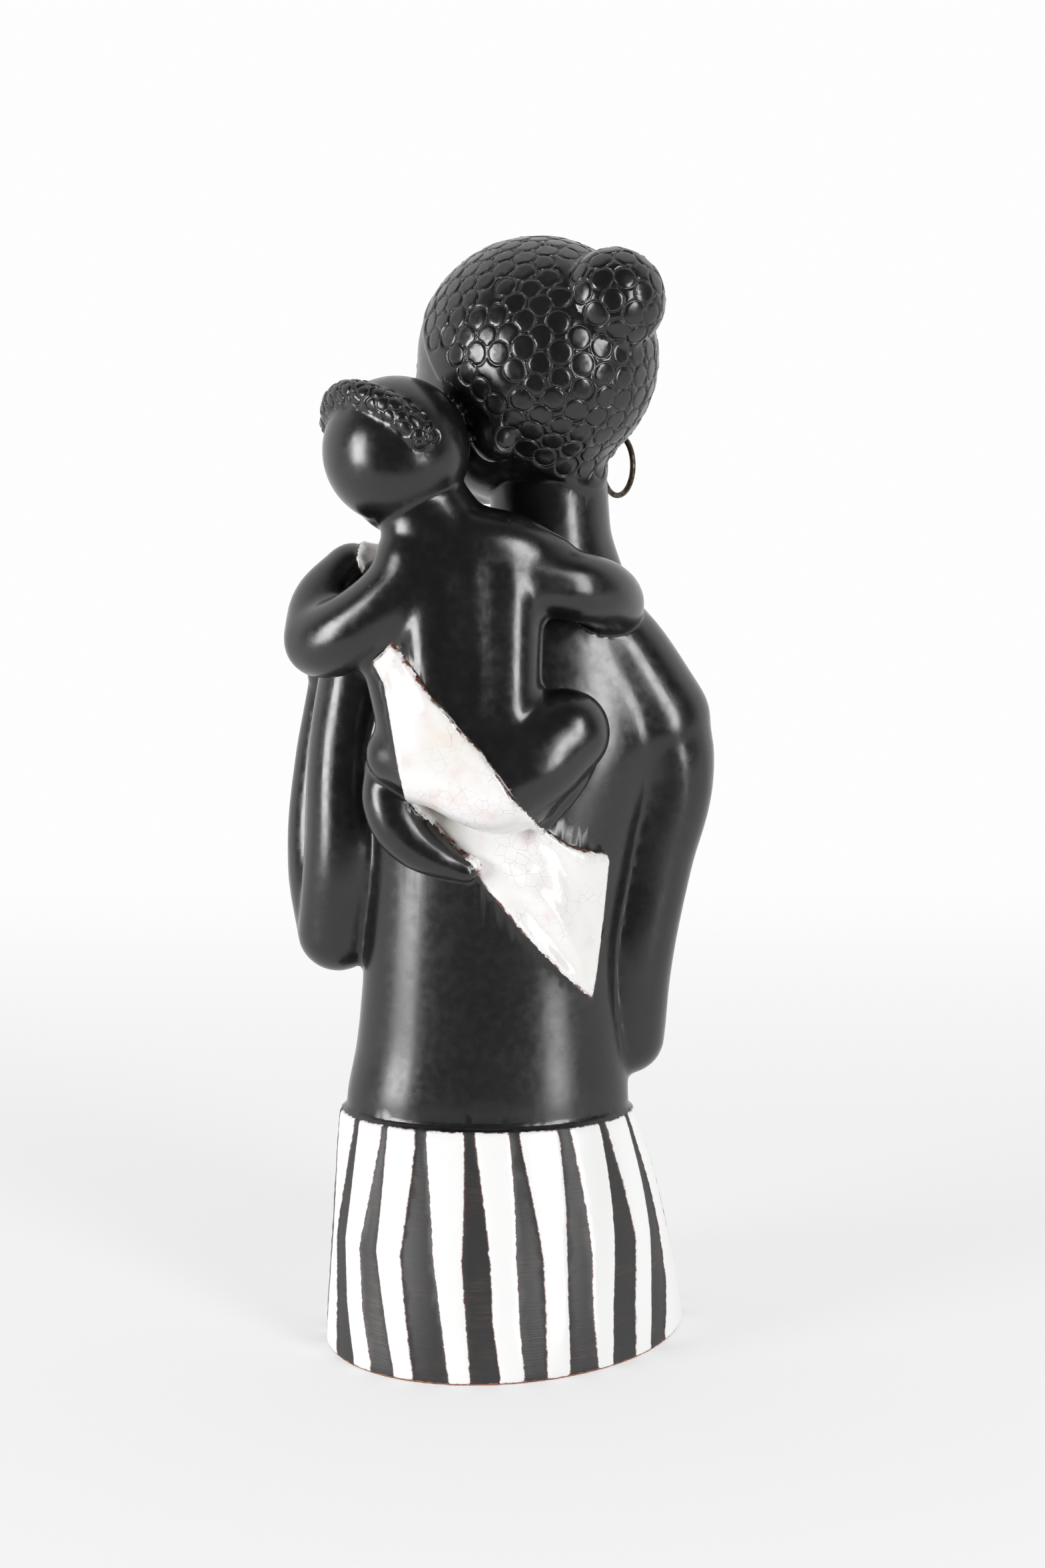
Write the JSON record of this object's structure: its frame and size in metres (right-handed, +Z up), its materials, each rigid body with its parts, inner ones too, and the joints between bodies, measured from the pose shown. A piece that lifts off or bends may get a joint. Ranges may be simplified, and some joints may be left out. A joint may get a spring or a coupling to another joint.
{
  "type": "ceramic maternity figure",
  "caption": "Standing half figure of a mother in a striped skirt with a child carried on her back in a sling, hair in stamped rounds, a wire ear hoop.",
  "frame": {"origin": "middle of the flat underside of the skirt", "axes": "+Z up, the mother faces -Y, the child is on the +Y side, the mother's left side is +X"},
  "size_m": [0.1266, 0.1013, 0.322],
  "materials": {
    "burnished_clay": "burnished black slip, with a white crackled glaze sling and thick white enamel stripes on the skirt",
    "hoop_wire": "dull brown oxidised copper alloy wire"
  },
  "bodies": {
    "root": {"maternity_figure": "burnished_clay", "ear_hoop_right": "hoop_wire"}
  },
  "joints": []
}
